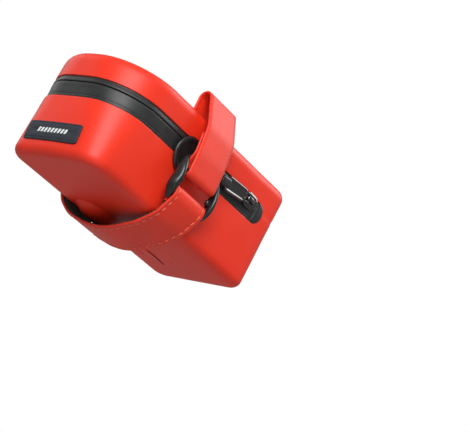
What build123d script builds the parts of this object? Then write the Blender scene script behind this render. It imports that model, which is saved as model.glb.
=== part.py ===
from build123d import *
import math
import os

# Bicycle saddle bag: a moulded zip case hung from two saddle rails by a strap and a belly band.
# Millimetres. +X points forwards, +Y to the rider's left, +Z up towards the saddle.
# Shapes are drawn with X from the rear face and Z from the underside of the case. They are then
# moved so that the origin is midway between the two rails, at the middle of the strap's width.

# Case
LENGTH = 146.0
HEIGHT = 63.0
HALF_BOTTOM = 33.7              # half width at the underside
HALF_TOP = 37.4                 # half width at the top
REAR_LEAN = 3.0                 # how far the rear face leans back at the top
REAR_CROWN = 1.6                # how far the rear face bows out in its middle
REAR_R_BOTTOM = 14.0            # plan radius of the rear corners at the underside
REAR_R_TOP = 35.0               # plan radius of the rear corners at the top
FRONT_R = 12.0
BOTTOM_EDGE_R = 7.0
TOP_EDGE_R = 6.0
SKIN = 1.0
FOAM = 2.2
LINING = 0.6
WALL = SKIN + FOAM + LINING

# Zip
SLOT_LOW, SLOT_HIGH = 34.3, 47.5
SLOT_END = 131.0                # front tip of the zip's slot
PARTING = 43.6                  # height of the line where the zip parts
ZIP_GAP = 0.9                   # gap between the two tapes
SHELL_GAP = 0.3                 # gap between the two shells in front of the zip
TAPE_OUT, TAPE_IN = 0.6, 1.8    # depth of the tapes under the case's outer surface
COIL_IN = 3.0
COIL_HEIGHT = 1.6
COIL_END = 119.5
LINING_MARGIN = 1.5             # the lining stops this far from the slot
GARAGE_REAR = 122.6
GARAGE_PROUD = 0.3
GARAGE_MARGIN = 0.15            # gap between the cap and the upper shell
GARAGE_CLEARANCE = 0.5          # gap between the cap and the tub's parts, which move
STOP_REAR, STOP_FRONT = 122.4, 124.4

# Slider and puller, measured along the side (u), up it (v) and out from it (w)
SLIDER_REAR, SLIDER_FRONT = 110.5, 122.0
SLIDER_HALF = 4.4
PLATE_OUT, PLATE_TOP = 0.35, 1.5
INNER_PLATE = (-4.3, -3.3)
POST_U, POST_V = (118.2, 120.8), (-0.36, 0.2)
BRIDGE_U, BRIDGE_HALF, BRIDGE_TOP = (110.9, 118.6), 1.3, 3.7
PIVOT_U, PIVOT_W = 112.9, 2.3
TAB_REAR, TAB_FRONT = 90.0, 110.2
TAB_HALF = 4.4
TAB_T = 1.1
TAB_RIM = 1.4
TAB_RECESS = 0.35
TAB_CORNER_R = 2.0
TAB_BAR = 1.5                   # the bar at the tab's rear end that the loop holds
TAB_WINDOW = 4.6                # front edge of the window behind that bar
PULL_TILT = 5.5                 # the puller hangs down from the slider by this angle, in degrees
LOOP_CENTRE = (56.1, -0.7)
LOOP_R = 9.5
LOOP_W, LOOP_T = 1.6, 1.9
LOOP_CORD = 2.6
LOOP_WEB = 0.8                  # thickness of the web inside the loop's rim
LOOP_HEAD = (-2.6, 3.6)         # ends of the loop's head, from the tab's rear end
LOOP_CLEARANCE = 0.15

# Rails, strap and band
RAIL_R = 3.5
RAIL_Y = 32.0
RAIL_Z = 72.5
STRAP_X = 66.5                  # middle of the strap's width
STRAP_W = 25.0
STRAP_T = 1.2
HOOK_T = 0.5
BAND_W = 27.0
BAND_T = 1.3
BAND_LINING_T = 0.5
LAYER_GAP = 0.05
STITCH_INSET = 2.6
STITCH_W, STITCH_T = 0.6, 0.3
RIM_POINT = (43.6, 57.0)        # where the strap turns in over the top edge
BAND_LEFT = [(35.6, -0.6), (25.8, -7.7), (10.0, -11.8)]
BAND_LOWEST = (0.0, -12.9)
BAND_RIGHT = [(-10.0, -11.6), (-25.5, -6.2), (-36.5, 1.0)]
BAND_RADII = [16.0, 25.0, 40.0]
BAND_LOWEST_R = 40.0
BAND_KNEE_R = 8.0
FLAP_END = 8.5                  # height of the end of the band's folded-back flap
LINING_TOP = 14.5

# Buckles
BAR_R = 1.5
BAR_CLEARANCE = 0.1
UPPER_BAR = (43.2, 28.1)
LOWER_BAR = (41.6, 15.9)
BUCKLE_INNER = 27.4
BUCKLE_SIDE = 5.0
BUCKLE_LOW, BUCKLE_CROWN, BUCKLE_HIGH = (40.2, 9.5), (46.8, 22.5), (42.8, 36.5)
BUCKLE_BACK_LOW, BUCKLE_BACK_HIGH = (39.4, 11.5), (41.2, 34.5)

# Pad under the case
PAD_CENTRE = (67.0, 16.0)
PAD_SIZE = (19.5, 13.0, 6.4)
PAD_CUT = 4.6
TONGUE_X = (67.0, 122.0)
TONGUE_Y = (8.5, 29.0)
TONGUE_T = 1.0
TONGUE_R = 6.0
HOOKS_SIZE = (20.0, 10.0, 0.5)
HOOKS_CENTRE = (67.0, 12.0)

BIG = 400.0
SHIFT = Pos(-STRAP_X, 0, -RAIL_Z)


def half_width(z):
    """Half the case's width at a height."""
    return HALF_BOTTOM + (HALF_TOP - HALF_BOTTOM) * z / HEIGHT


SIDE_SLOPE = (HALF_TOP - HALF_BOTTOM) / HEIGHT
RIGHT_SIDE = Location(Plane(origin=(0, -half_width(PARTING), PARTING), x_dir=(1, 0, 0),
                            z_dir=(0, -1, -SIDE_SLOPE)))
PULLER = RIGHT_SIDE * Pos(PIVOT_U, 0, 0) * Rot(0, 0, PULL_TILT) * Pos(-PIVOT_U, 0, 0)


def slab(low, high, x_low=-BIG, x_high=BIG, y_low=-BIG, y_high=BIG):
    """A box between two heights, wide enough to cut the whole case unless its sides are given."""
    size = (x_high - x_low, y_high - y_low, high - low)
    centre = ((x_high + x_low) / 2, (y_high + y_low) / 2, (high + low) / 2)
    return Pos(*centre) * Box(*size)


def side_box(u, v, w, place=RIGHT_SIDE):
    """A box on the right side, from its ranges along the side, up it and out from it."""
    size = (u[1] - u[0], v[1] - v[0], w[1] - w[0])
    centre = ((u[0] + u[1]) / 2, (v[0] + v[1]) / 2, (w[0] + w[1]) / 2)
    return place * Pos(*centre) * Box(*size)


def mirrored(shape):
    """The same shape on the other side of the case."""
    return mirror(shape, about=Plane.XZ)


# ---------------------------------------------------------------- case

def plan(z, inset):
    """The case's outline at a height, drawn in from its outer surface by the inset."""
    share = z / HEIGHT
    rear = -REAR_LEAN * share + inset
    front = LENGTH - inset
    half = half_width(z) - inset
    corner_r = REAR_R_BOTTOM + (REAR_R_TOP - REAR_R_BOTTOM) * share - inset
    outline = [Polyline((rear, -half), (front, -half), (front, half), (rear, half)),
               ThreePointArc((rear, -half), (rear - REAR_CROWN, 0), (rear, half))]
    face = make_face(outline)
    return Pos(0, 0, z) * fillet(face.vertices().group_by(Axis.X)[0], corner_r)


def case_solid(inset):
    """The solid inside a surface that lies the inset below the case's outer surface."""
    solid = loft([plan(inset, inset), plan(HEIGHT - inset, inset)], ruled=True)
    upright = solid.edges().filter_by(
        lambda e: abs(e.center().X - (LENGTH - inset)) < 0.01 and e.length > HEIGHT / 2
        and abs(e.center().Y) > HALF_BOTTOM / 2)
    solid = fillet(upright, FRONT_R - inset)
    solid = fillet(solid.faces().sort_by(Axis.Z)[0].edges(), BOTTOM_EDGE_R - inset)
    return fillet(solid.faces().sort_by(Axis.Z)[-1].edges(), TOP_EDGE_R - inset)


def slot_prism(margin=0.0):
    """The zip's slot as a prism right across the case: it runs round the rear, with round front ends."""
    low, high = SLOT_LOW - margin, SLOT_HIGH + margin
    radius = (high - low) / 2
    end_x = SLOT_END + margin - radius
    bar = slab(low, high, x_high=end_x)
    tip = Pos(end_x, 0, (low + high) / 2) * Rot(90, 0, 0) * Cylinder(radius, BIG)
    return bar + tip


def split(shape, gap):
    """The parts of a shape below and above the parting line."""
    return shape & slab(-BIG, PARTING - gap / 2), shape & slab(PARTING + gap / 2, BIG)


def case_layers():
    """Skin, foam and lining, each in a lower and an upper half."""
    outer, under_skin = case_solid(0), case_solid(SKIN)
    under_foam, inside = case_solid(SKIN + FOAM), case_solid(WALL)
    slot, lining_slot = slot_prism(), slot_prism(LINING_MARGIN)
    return {
        "shell": split(outer - under_skin - slot, SHELL_GAP),
        "foam": split(under_skin - under_foam - slot, SHELL_GAP),
        "lining": split(under_foam - inside - lining_slot, SHELL_GAP),
    }


def front_hinge_tape():
    """A textile tape inside the front wall, bonded to the lid's lining and free of the tub's."""
    block = slab(PARTING - 5.5, PARTING + 6.5, x_low=LENGTH - 8, y_low=-21, y_high=21)
    tape = (case_solid(WALL) - case_solid(WALL + 0.8)) & block
    return tape - ((case_solid(WALL) - case_solid(WALL + 0.35)) & slab(-BIG, PARTING + 0.3))


def label():
    """A thin patch with round corners that follows the rear wall."""
    centre_y, centre_z, width, height = 1.75, 12.9, 39.0, 10.8
    face = Plane.YZ * Pos(centre_y, centre_z) * RectangleRounded(width, height, 2.2)
    block = Pos(-20, 0, 0) * extrude(face, 40)
    return (case_solid(-0.9) - case_solid(0)) & block


# ---------------------------------------------------------------- zip

def zip_tapes():
    """The zip's two tapes, below and above the parting line."""
    ring = (case_solid(TAPE_OUT) - case_solid(TAPE_IN)) & slot_prism()
    return split(ring, ZIP_GAP)


def zip_coils():
    """The two rows of teeth, as plain strips behind the tapes."""
    ring = case_solid(TAPE_IN) - case_solid(COIL_IN)
    half_gap = ZIP_GAP / 2
    lower = slab(PARTING - half_gap - COIL_HEIGHT, PARTING - half_gap, x_high=COIL_END)
    upper = slab(PARTING + half_gap, PARTING + half_gap + COIL_HEIGHT, x_high=COIL_END)
    return ring & lower, ring & upper


def zip_stops():
    """The two metal end stops, one at each end of the zip."""
    stop = side_box((STOP_REAR, STOP_FRONT), (0.6, 3.0), (-3.4, -TAPE_IN))
    return Compound([stop, mirrored(stop)])


def zip_garage():
    """The rubber cap over the zip's right front end, fixed to the upper tape and clear of the tub."""
    front = slab(-BIG, BIG, x_low=GARAGE_REAR, y_high=0)
    upper = (case_solid(-GARAGE_PROUD) - case_solid(TAPE_OUT)) & slot_prism(-GARAGE_MARGIN)
    lower = (case_solid(-GARAGE_PROUD) - case_solid(0.2)) & slot_prism(-GARAGE_CLEARANCE)
    return (upper & front & slab(PARTING, BIG)) + (lower & front & slab(-BIG, PARTING))


def zip_slider():
    """Outer and inner plates joined by a thin post between the tapes, with a bridge for the tab."""
    outer = side_box((SLIDER_REAR, SLIDER_FRONT), (-SLIDER_HALF, SLIDER_HALF), (PLATE_OUT, PLATE_TOP))
    corners = outer.edges().filter_by(lambda e: abs(e.length - (PLATE_TOP - PLATE_OUT)) < 0.01)
    outer = fillet(corners, TAB_CORNER_R)
    inner_half = SLIDER_HALF - 0.6
    inner = side_box((SLIDER_REAR + 0.5, SLIDER_FRONT - 0.5), (-inner_half, inner_half), INNER_PLATE)
    post = side_box(POST_U, POST_V, (INNER_PLATE[1] - 0.2, PLATE_OUT + 0.15))
    bridge = side_box(BRIDGE_U, (-BRIDGE_HALF, BRIDGE_HALF), (PLATE_TOP - 0.2, BRIDGE_TOP))
    eye = side_box((BRIDGE_U[0] + 0.8, BRIDGE_U[1] - 1.2), (-BIG, BIG), (PLATE_TOP + 0.1, BRIDGE_TOP - 0.7))
    bridge = bridge - eye
    bridge = fillet(bridge.edges().group_by(Axis.Y)[0], 0.5)
    return outer + inner + post + bridge


def puller_box(u, v, w):
    """A box drawn along the side and then tilted about the slider's pivot with the rest of the puller."""
    return side_box(u, v, w, PULLER)


def puller_tab():
    """A flat tab with a raised rim, a fork that holds its pivot bar, and a window for the loop."""
    w_low, w_high = PIVOT_W - TAB_T / 2, PIVOT_W + TAB_T / 2
    plate = puller_box((TAB_REAR, TAB_FRONT), (-TAB_HALF, TAB_HALF), (w_low, w_high))
    plate = fillet(plate.edges().filter_by(lambda e: abs(e.length - TAB_T) < 0.01), TAB_CORNER_R)
    inner_half = TAB_HALF - TAB_RIM
    recess = puller_box((TAB_REAR + TAB_WINDOW + TAB_RIM, TAB_FRONT - TAB_RIM), (-inner_half, inner_half),
                        (w_high - TAB_RECESS, w_high + 1))
    window = puller_box((TAB_REAR + TAB_BAR, TAB_REAR + TAB_WINDOW), (-inner_half, inner_half),
                        (w_low - 1, w_high + 1))
    arm_in, arm_out = BRIDGE_HALF + 0.4, BRIDGE_HALF + 1.9
    arms = [puller_box((TAB_FRONT - 2, PIVOT_U + 0.6), v, (w_low, w_high))
            for v in ((-arm_out, -arm_in), (arm_in, arm_out))]
    bar = PULLER * Pos(PIVOT_U, 0, PIVOT_W) * Rot(90, 0, 0) * Cylinder(0.5, 2 * arm_out - 0.4)
    return plate - recess - window + arms[0] + arms[1] + bar


def pull_loop():
    """A moulded rubber finger loop: a thick rim round a thin web, and a head round the tab's rear bar."""
    start = TAB_REAR + 0.4
    rim_out = Pos(*LOOP_CENTRE) * Circle(LOOP_R + LOOP_CORD / 2)
    rim_in = Pos(*LOOP_CENTRE) * Circle(LOOP_R - LOOP_CORD / 2)
    outline = make_hull([*rim_out.edges(), *(Pos(start, 0) * Circle(2.4)).edges()])
    dish = make_hull([*rim_in.edges(), *(Pos(start - 9.0, -0.2) * Circle(0.9)).edges()])
    low = LOOP_W - LOOP_T / 2
    body = extrude(Pos(0, 0, low) * outline, LOOP_T)
    body = PULLER * (body - extrude(Pos(0, 0, low + LOOP_WEB) * dish, LOOP_T))
    head_low, head_high = LOOP_W - LOOP_T / 2, BRIDGE_TOP
    head = puller_box((TAB_REAR + LOOP_HEAD[0], TAB_REAR + LOOP_HEAD[1]), (-2.4, 2.4), (head_low, head_high))
    head = fillet(head.edges().filter_by(lambda e: abs(e.length - (head_high - head_low)) < 0.01), 1.0)
    tab_w = (PIVOT_W - TAB_T / 2 - LOOP_CLEARANCE, PIVOT_W + TAB_T / 2 + LOOP_CLEARANCE)
    bar = puller_box((TAB_REAR - LOOP_CLEARANCE, TAB_REAR + TAB_BAR + LOOP_CLEARANCE), (-BIG, BIG), tab_w)
    tab = puller_box((TAB_REAR - LOOP_CLEARANCE, BIG), (-BIG, BIG), tab_w)
    return (body - tab) + (head - bar)


# ---------------------------------------------------------------- webbing

def moved_sideways(points, distance):
    """An open route moved sideways by a distance, to the left of its direction when positive."""
    normals = []
    for (y0, z0), (y1, z1) in zip(points, points[1:]):
        run = math.hypot(y1 - y0, z1 - z0)
        normals.append((-(z1 - z0) / run, (y1 - y0) / run))
    result = []
    for i, (y, z) in enumerate(points):
        before, after = normals[max(i - 1, 0)], normals[min(i, len(normals) - 1)]
        share = distance / (1 + before[0] * after[0] + before[1] * after[1])
        result.append((y + share * (before[0] + after[0]), z + share * (before[1] + after[1])))
    return result


def ribbon(points, radii, thickness, width, centre_x=STRAP_X):
    """A flat strip across the case: a route in the YZ plane, given a thickness and a width along X."""
    half = thickness / 2
    left, right = moved_sideways(points, half), moved_sideways(points, -half)
    turns = [turn(*points[i - 1:i + 2]) for i in range(1, len(points) - 1)]
    left_radii = [r - half * t for r, t in zip(radii, turns)]
    right_radii = [r + half * t for r, t in zip(radii, turns)]
    outline = [smooth_line(left, left_radii), Line(left[-1], right[-1]),
               smooth_line(right, right_radii), Line(left[0], right[0])]
    strip = extrude(Plane.YZ * make_face(outline), width)
    return Pos(centre_x - width / 2 - strip.bounding_box().min.X, 0, 0) * strip


def smooth_line(points, radii):
    """Straight runs with rounded corners, or one straight run."""
    return FilletPolyline(*points, radius=radii) if radii else Line(*points)


def turn(before, corner, after):
    """1 where a route turns left at a corner and -1 where it turns right."""
    cross = ((corner[0] - before[0]) * (after[1] - corner[1])
             - (corner[1] - before[1]) * (after[0] - corner[0]))
    return math.copysign(1, cross)


def both_ways(radii, middle=()):
    """The corner radii of a whole route, from those of its left half."""
    return [*radii, *middle, *reversed(radii)]


def both_sides(points, middle=()):
    """A route from the left side to the right, from its left half and any points on the centre line."""
    return [*points, *middle, *((-y, z) for y, z in reversed(points))]


def on_line(start, end, z):
    """The point at a height on the line through two points."""
    share = (z - start[1]) / (end[1] - start[1])
    return start[0] + share * (end[0] - start[0]), z


WRAP_R = BAR_R + BAR_CLEARANCE + STRAP_T / 2
STRAP_FOLD = (UPPER_BAR[0] + WRAP_R, UPPER_BAR[1] - WRAP_R)
STRAP_KNEE = (STRAP_FOLD[0], UPPER_BAR[1] + 11.9)
BAND_WRAP_R = BAR_R + BAR_CLEARANCE + BAND_T / 2
BAND_FOLD = (LOWER_BAR[0] + BAND_WRAP_R, LOWER_BAR[1] + BAND_WRAP_R)
BAND_KNEE = (BAND_FOLD[0], LOWER_BAR[1] - 3.4)


def rail_corner():
    """Where the strap's two runs beside a rail would meet above it, with the strap touching the rail."""
    reach = RAIL_R + STRAP_T / 2
    dy, dz = RAIL_Y - RIM_POINT[0], RAIL_Z - RIM_POINT[1]
    angle = math.atan2(dz, dy) - math.asin(reach / math.hypot(dy, dz))
    inner_y = RAIL_Y - reach
    run = (inner_y - RIM_POINT[0]) / math.cos(angle)
    return inner_y, RIM_POINT[1] + run * math.sin(angle)


def strap_return(z, layer):
    """A point beside the strap's outer run, moved in by a distance."""
    y, z = on_line(STRAP_KNEE, RIM_POINT, z)
    return y - layer, z


def rail_strap():
    """One strap: from each buckle up the side, over the rail, down, and across the lid."""
    lid_z = HEIGHT + 0.2 + STRAP_T / 2
    corner = rail_corner()
    return_in = STRAP_T + HOOK_T + 2 * LAYER_GAP
    inner_y = UPPER_BAR[0] - WRAP_R
    points = [
        strap_return(52.0, return_in),
        strap_return(STRAP_KNEE[1], return_in),
        (inner_y, UPPER_BAR[1] + 5.0),
        (inner_y, STRAP_FOLD[1]),
        STRAP_FOLD,
        STRAP_KNEE,
        RIM_POINT,
        corner,
        (corner[0], lid_z),
    ]
    radii = [6.0, 3.0, WRAP_R - 0.01, WRAP_R - 0.01, 30.0, 25.0, RAIL_R + STRAP_T / 2, 2.5]
    return ribbon(both_sides(points), both_ways(radii), STRAP_T, STRAP_W)


def strap_hooks():
    """The hook-and-loop layer between the left strap's outer run and its return."""
    layer = STRAP_T / 2 + LAYER_GAP + HOOK_T / 2
    points = [strap_return(z, layer) for z in (51.6, 41.5)]
    return ribbon(points, [], HOOK_T, STRAP_W - 2)


def lid_keeper():
    """A low bridge on the lid that the strap passes under."""
    half, foot = STRAP_W / 2 + 1.2, 7.0
    base, crown = HEIGHT + 0.5, HEIGHT + 2.6
    outline = Pos(0, base) * Rectangle(2 * (half + foot), 0.9)
    arch = Pos(0, (base + crown) / 2) * Rectangle(2 * half, crown - base + 0.9)
    tunnel = Pos(0, (HEIGHT + crown - 0.45) / 2) * Rectangle(2 * half - 1.8, crown - 0.45 - HEIGHT)
    bridge = extrude(Plane.XZ * (outline + arch - tunnel), 13)
    return Pos(STRAP_X, 6.5, 0) * bridge


def mirrored_points(points):
    """The same part of a route on the other side, in the order that carries on from it."""
    return [(-y, z) for y, z in reversed(points)]


def belly_band():
    """The band's outer layer: round the lower bar of each buckle and under the case."""
    inner_y = LOWER_BAR[0] - BAND_WRAP_R
    end = [(inner_y, FLAP_END), (inner_y, BAND_FOLD[1]), BAND_FOLD, BAND_KNEE]
    points = [*end, *BAND_LEFT, BAND_LOWEST, *BAND_RIGHT, *mirrored_points(end)]
    radii = [BAND_WRAP_R - 0.01, BAND_WRAP_R - 0.01, BAND_KNEE_R, *BAND_RADII]
    return ribbon(points, both_ways(radii, [BAND_LOWEST_R]), BAND_T, BAND_W)


def hanging_part(top, distance):
    """The band's route between two equal heights, moved to its inside by a distance."""
    left = on_line(BAND_KNEE, BAND_LEFT[0], top)
    right = on_line((-BAND_KNEE[0], BAND_KNEE[1]), BAND_RIGHT[-1], top)
    return moved_sideways([left, *BAND_LEFT, BAND_LOWEST, *BAND_RIGHT, right], -distance)


def hanging_radii(distance):
    """The corner radii of that route after it has moved."""
    return [r - distance for r in both_ways(BAND_RADII, [BAND_LOWEST_R])]


def band_lining():
    """The pile inside the band: it covers both folded-back flaps and the band's inner face."""
    distance = BAND_T / 2 + LAYER_GAP + BAND_LINING_T / 2
    route = hanging_part(BAND_KNEE[1], distance)
    y = LOWER_BAR[0] - BAND_WRAP_R - distance
    left = [(y, LINING_TOP), crossing(route[0], route[1], y)]
    right = [crossing(route[-1], route[-2], -y), (-y, LINING_TOP)]
    points = [*left, *route[1:-1], *right]
    return ribbon(points, [3.0, *hanging_radii(distance), 3.0], BAND_LINING_T, BAND_W - 1)


def crossing(start, end, y):
    """The point of the line through two points at a distance across the case."""
    share = (y - start[0]) / (end[0] - start[0])
    return y, start[1] + share * (end[1] - start[1])


def band_stitches():
    """Two rows of thread on the band's outer face."""
    offset, distance = BAND_W / 2 - STITCH_INSET, -(BAND_T + STITCH_T) / 2
    rows = [ribbon(hanging_part(10.0, distance), hanging_radii(distance), STITCH_T, STITCH_W,
                   STRAP_X + side * offset) for side in (-1, 1)]
    return Compound(rows)


def band_pad():
    """A low dome under the case, with a flat tongue in front of it."""
    dome = Pos(*PAD_CENTRE, 0) * scale(Sphere(1), by=PAD_SIZE)
    width, length = TONGUE_Y[1] - TONGUE_Y[0], TONGUE_X[1] - TONGUE_X[0]
    middle = ((TONGUE_X[0] + TONGUE_X[1]) / 2, (TONGUE_Y[0] + TONGUE_Y[1]) / 2, -TONGUE_T)
    tongue = Pos(*middle) * extrude(RectangleRounded(length, width, TONGUE_R), TONGUE_T)
    return (dome & slab(-PAD_CUT, 0)) + tongue


def band_pad_hooks():
    """The hook patch under the dome."""
    return Pos(*HOOKS_CENTRE, -PAD_CUT - HOOKS_SIZE[2] / 2) * Box(*HOOKS_SIZE)


# ---------------------------------------------------------------- buckle

def buckle():
    """The left buckle: two bars between crescent-shaped side pieces."""
    outline = [
        ThreePointArc(BUCKLE_LOW, BUCKLE_CROWN, BUCKLE_HIGH),
        Line(BUCKLE_HIGH, BUCKLE_BACK_HIGH),
        Line(BUCKLE_BACK_HIGH, BUCKLE_BACK_LOW),
        Line(BUCKLE_BACK_LOW, BUCKLE_LOW),
    ]
    side = extrude(Plane.YZ * make_face(outline), BUCKLE_SIDE)
    side = Pos(BUCKLE_INNER / 2 - side.bounding_box().min.X, 0, 0) * side
    crown = side.edges().filter_by(lambda e: e.center().X > BUCKLE_INNER / 2 + BUCKLE_SIDE - 0.01
                                   and e.center().Y > UPPER_BAR[0])
    side = chamfer(crown, 2.4, 1.2)
    other = mirror(side, about=Plane.YZ)
    bars = [Pos(0, *spot) * Rot(0, 90, 0) * Cylinder(BAR_R, BUCKLE_INNER + 2)
            for spot in (UPPER_BAR, LOWER_BAR)]
    return Pos(STRAP_X, 0, 0) * (side + other + bars[0] + bars[1])


# ---------------------------------------------------------------- nodes

def build():
    """Every node's shape by its name."""
    layers = case_layers()
    tapes, coils = zip_tapes(), zip_coils()
    garage, hooks, left_buckle = zip_garage(), strap_hooks(), buckle()
    return {
        "lower_shell": layers["shell"][0],
        "upper_shell": layers["shell"][1],
        "lower_foam": layers["foam"][0],
        "upper_foam": layers["foam"][1],
        "tub_lining": layers["lining"][0],
        "lid_lining": layers["lining"][1],
        "front_hinge_tape": front_hinge_tape(),
        "label": label(),
        "zip_tape_lower": tapes[0],
        "zip_tape_upper": tapes[1],
        "zip_coil_lower": coils[0],
        "zip_coil_upper": coils[1],
        "zip_stops": zip_stops(),
        "zip_garage_right": garage,
        "zip_garage_left": mirrored(garage),
        "zip_slider": zip_slider(),
        "puller_tab": puller_tab(),
        "pull_loop": pull_loop(),
        "rail_strap": rail_strap(),
        "strap_hooks_left": hooks,
        "strap_hooks_right": mirrored(hooks),
        "lid_keeper": lid_keeper(),
        "belly_band": belly_band(),
        "band_lining": band_lining(),
        "band_stitches": band_stitches(),
        "band_pad": band_pad(),
        "band_pad_hooks": band_pad_hooks(),
        "buckle_left": left_buckle,
        "buckle_right": mirrored(left_buckle),
    }


os.makedirs("parts", exist_ok=True)
for name, shape in build().items():
    export_step(SHIFT * shape, f"parts/{name}.step")
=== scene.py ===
import math
import random

import bmesh
import bpy
from mathutils import Matrix, Vector, noise


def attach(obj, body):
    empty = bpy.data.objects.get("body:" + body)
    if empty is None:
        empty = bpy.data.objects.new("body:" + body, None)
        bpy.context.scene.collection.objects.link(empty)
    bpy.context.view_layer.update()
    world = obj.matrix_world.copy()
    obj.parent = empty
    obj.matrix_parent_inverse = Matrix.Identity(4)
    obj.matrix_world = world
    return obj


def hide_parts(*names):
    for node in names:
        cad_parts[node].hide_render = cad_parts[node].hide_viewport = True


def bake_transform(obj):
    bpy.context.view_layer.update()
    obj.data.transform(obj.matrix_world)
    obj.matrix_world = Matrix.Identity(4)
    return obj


# Bicycle saddle bag. Shapes are worked out in millimetres with X from the rear face of the case and
# Z from its underside, and put() moves them into the row frame in metres.

random.seed(11)
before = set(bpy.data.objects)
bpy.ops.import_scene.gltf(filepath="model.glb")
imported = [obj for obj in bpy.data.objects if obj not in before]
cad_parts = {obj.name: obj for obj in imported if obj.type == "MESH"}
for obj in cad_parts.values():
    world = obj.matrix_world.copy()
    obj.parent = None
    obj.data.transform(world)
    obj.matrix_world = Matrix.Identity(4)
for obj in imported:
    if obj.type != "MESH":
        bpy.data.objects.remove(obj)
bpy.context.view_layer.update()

# Case
LENGTH, HEIGHT = 146.0, 63.0
HALF_BOTTOM, HALF_TOP = 33.7, 37.4
REAR_LEAN, REAR_CROWN = 3.0, 1.8
REAR_R_BOTTOM, REAR_R_TOP = 11.0, 34.0
FRONT_R = 9.5
BOTTOM_EDGE_R, TOP_EDGE_R = 5.0, 6.0
SLOT_LOW, SLOT_HIGH, SLOT_END = 34.3, 47.5, 131.0
SLOT_MID, SLOT_R = (SLOT_LOW + SLOT_HIGH) / 2, (SLOT_HIGH - SLOT_LOW) / 2
TIP_X = SLOT_END - SLOT_R
PARTING = 43.6
MID_X = 60.0                    # where the rear's columns end and the straight side's begin
INNER_INSETS = (30, 27, 24, 21, 18, 15, 12, 9.5, 7.2)
LOWER_SHARES = (0.12, 0.26, 0.4, 0.54, 0.67, 0.78, 0.87, 0.935, 0.975, 1.0)
UPPER_SHARES = (0.0, 0.06, 0.16, 0.3, 0.46, 0.64, 0.82, 1.0)
EDGE_STEPS = 6
BEND_TOP, BEND_BOTTOM = 47.0, 34.6
SAG, SAG_X, SAG_REACH = 1.5, 84.0, (66.0, 34.0)

# Zip
TAPE_FRONT, COIL_FRONT, GARAGE_REAR = 126.5, 119.5, 121.8
COIL_PITCH, COIL_R, COIL_THREAD_R, COIL_INSET = 1.25, 0.85, 0.27, 2.55

# Strap, band and buckles
STRAP_X, STRAP_W, STRAP_T, HOOK_T = 66.5, 25.0, 1.2, 0.5
BAND_W, BAND_T, BAND_LINING_T = 27.0, 1.3, 0.5
LAYER_GAP = 0.05
LINING_TOP, STITCH_TOP, FLAP_END = 14.5, 16.5, 8.5
STITCH_X, STITCH_PITCH, STITCH_LENGTH = 10.85, 4.3, 3.0
ARC_STEP, LINE_STEP = 0.7, 1.6
RAIL_R, RAIL_Y, RAIL_Z = 3.5, 32.0, 72.5
RIM_POINT = (43.6, 57.0)
BAND_LEFT = [(35.6, -0.6), (25.8, -7.7), (10.0, -11.8)]
BAND_LOWEST = (0.0, -12.9)
BAND_RIGHT = [(-10.0, -11.6), (-25.5, -6.2), (-36.5, 1.0)]
BAND_RADII, BAND_LOWEST_R, BAND_KNEE_R = [16.0, 25.0, 40.0], 40.0, 8.0
BAR_R, BAR_CLEARANCE = 1.5, 0.1
UPPER_BAR, LOWER_BAR = (43.2, 28.1), (41.6, 15.9)
BUCKLE_INNER = 27.4

# Slider, tab and loop
PIVOT_U, PIVOT_W = 112.9, 2.3
PULL_TILT = math.radians(5.5)
TAB_REAR, TAB_FRONT, TAB_HALF = 90.0, 110.2, 4.4
LOOP_CENTRE, LOOP_R = (56.1, -0.7), 9.5
LOOP_BENT = 80.0                # behind here the loop stays under the strap as the tab lifts

# Label, dome, hook patch and tongue
LABEL_CENTRE, LABEL_HALF = (1.6, 12.9), (20.3, 5.5)
PAD_CENTRE, PAD_SIZE, PAD_CUT, PAD_FILL = (67.0, 15.5), (19.5, 13.5), 5.9, 0.7
PATCH_CENTRE, PATCH_HALF, PATCH_R = (72.0, 15.5), (6.0, 4.2), 2.5
TONGUE_X, TONGUE_Y, TONGUE_SINKS = (67.0, 122.0), (8.5, 25.0), 98.0
SLIT_REAR, SLIT_Y = 104.0, 8.1

MM = 0.001


def put(point):
    """A drawn point's place in the row frame."""
    x, y, z = point
    return ((x - STRAP_X) * MM, y * MM, (z - RAIL_Z) * MM)


def half_width(z):
    """Half the case's width at a height."""
    return HALF_BOTTOM + (HALF_TOP - HALF_BOTTOM) * z / HEIGHT


SLOPE = (HALF_TOP - HALF_BOTTOM) / HEIGHT
NORM = math.hypot(1, SLOPE)


def on_side(u, v, w):
    """A point on the right side: u along the case, v up the side from the parting, w out from it."""
    return (u, -half_width(PARTING) - (SLOPE * v + w) / NORM, PARTING + (v - SLOPE * w) / NORM)


def on_puller(u, v, w):
    """The same, tilted about the slider's pivot: the puller hangs down from it a little."""
    cos, sin = math.cos(PULL_TILT), math.sin(PULL_TILT)
    return on_side(PIVOT_U + (u - PIVOT_U) * cos - v * sin, (u - PIVOT_U) * sin + v * cos, w)


# -------- materials

ROUGH_SPREAD = 0.08


def add(tree, kind, **values):
    """A new shader node, with constants on inputs that are named here with _ for each space."""
    node = tree.nodes.new("ShaderNode" + kind)
    for name, value in values.items():
        node.inputs[name.replace("_", " ")].default_value = value
    return node


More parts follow.
